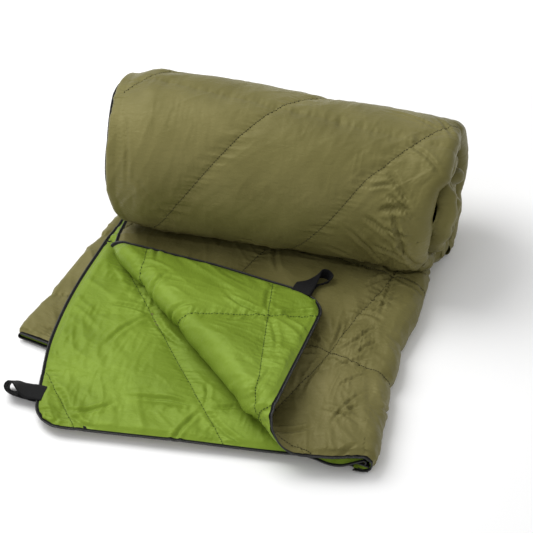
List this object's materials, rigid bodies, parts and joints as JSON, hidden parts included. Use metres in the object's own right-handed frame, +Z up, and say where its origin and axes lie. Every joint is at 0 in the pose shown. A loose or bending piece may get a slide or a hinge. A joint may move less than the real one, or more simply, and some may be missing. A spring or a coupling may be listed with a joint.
{
  "type": "quilted sleeping bag",
  "caption": "Quilted rectangular sleeping bag, folded in half and rolled from the head, its free corner turned back to show the lining.",
  "frame": {"origin": "on the floor under the middle of the roll", "axes": "+X along the roll from the zip side to the fold, -Y towards the free foot end, +Z up"},
  "size_m": [0.5007, 0.5376, 0.204],
  "materials": {
    "shell_cloth": "satin",
    "lining_cloth": "satin",
    "wadding": "matte",
    "zip_tape": "matte",
    "zip_coil": "satin",
    "webbing": "matte",
    "slider_metal": "satin"
  },
  "bodies": {
    "quilt": {"outer_shell": "shell_cloth", "outer_lining": "lining_cloth", "outer_roll_wadding": "wadding", "outer_free_wadding": "wadding", "outer_zip_tape": "zip_tape", "outer_zip_coil": "zip_coil", "inner_shell": "shell_cloth", "inner_lining": "lining_cloth", "inner_roll_wadding": "wadding", "inner_free_wadding": "wadding", "inner_zip_tape": "zip_tape", "inner_zip_coil": "zip_coil", "corner_loop_root": "webbing"},
    "bend_1": {"bend_1_shell": "shell_cloth", "bend_1_wadding": "wadding", "bend_1_lining": "lining_cloth", "bend_1_zip_tape": "zip_tape", "bend_1_zip_coil": "zip_coil"},
    "bend_2": {"bend_2_shell": "shell_cloth", "bend_2_wadding": "wadding", "bend_2_lining": "lining_cloth", "bend_2_zip_tape": "zip_tape", "bend_2_zip_coil": "zip_coil"},
    "bend_3": {"bend_3_shell": "shell_cloth", "bend_3_wadding": "wadding", "bend_3_lining": "lining_cloth", "bend_3_zip_tape": "zip_tape", "bend_3_zip_coil": "zip_coil"},
    "flap": {"flap_shell": "shell_cloth", "flap_wadding": "wadding", "flap_lining": "lining_cloth", "flap_zip_tape": "zip_tape", "flap_zip_coil": "zip_coil", "flap_loop_root": "webbing"},
    "corner_loop": {"corner_loop": "webbing"},
    "flap_loop": {"flap_loop": "webbing"},
    "slider": {"zip_slider": "slider_metal"},
    "pull": {"zip_pull": "slider_metal"}
  },
  "joints": [
    {"name": "flap_fold_1", "type": "hinge", "parent": "quilt", "child": "bend_1", "pos_m": [-0.06696, -0.24275, 0.0309], "axis": [-0.6972, 0.7169, 0], "range_deg": [-46.5, 0], "stiffness_Nm_per_rad": 0.05, "springref_deg": -20.05},
    {"name": "flap_fold_2", "type": "hinge", "parent": "bend_1", "child": "bend_2", "pos_m": [-0.07205, -0.24748, 0.03822], "axis": [-0.6822, 0.7308, -0.0215], "range_deg": [-46.5, 0], "stiffness_Nm_per_rad": 0.05, "springref_deg": -20.05},
    {"name": "flap_fold_3", "type": "hinge", "parent": "bend_2", "child": "bend_3", "pos_m": [-0.07191, -0.24686, 0.04828], "axis": [-0.6826, 0.729, -0.0511], "range_deg": [-46.5, 0], "stiffness_Nm_per_rad": 0.05, "springref_deg": -20.05},
    {"name": "flap_fold_4", "type": "hinge", "parent": "bend_3", "child": "flap", "pos_m": [-0.06664, -0.24126, 0.05482], "axis": [-0.6981, 0.7125, -0.0704], "range_deg": [-46.5, 0], "stiffness_Nm_per_rad": 0.05, "springref_deg": -20.05},
    {"name": "corner_loop_flex", "type": "hinge", "parent": "quilt", "child": "corner_loop", "pos_m": [-0.2291, -0.38, 0.01935], "axis": [0, 1, 0], "range_deg": [0, 60]},
    {"name": "flap_loop_flex", "type": "hinge", "parent": "flap", "child": "flap_loop", "pos_m": [0.06582, -0.11707, 0.03953], "axis": [0.993, -0.1174, -0.0119], "range_deg": [0, 60]},
    {"name": "zip_slide", "type": "slide", "parent": "quilt", "child": "slider", "axis": [0.9645, -0.2642, 0], "range_m": [-0.06, 0.24]},
    {"name": "pull_swing", "type": "hinge", "parent": "slider", "child": "pull", "pos_m": [-0.20283, -0.30404, 0.00765], "axis": [0, 0, -1], "range_deg": [0, 180]}
  ],
  "couplings": [
    {"joint": "flap_fold_2", "follows": "flap_fold_1", "ratio": 1},
    {"joint": "flap_fold_3", "follows": "flap_fold_1", "ratio": 1},
    {"joint": "flap_fold_4", "follows": "flap_fold_1", "ratio": 1}
  ]
}
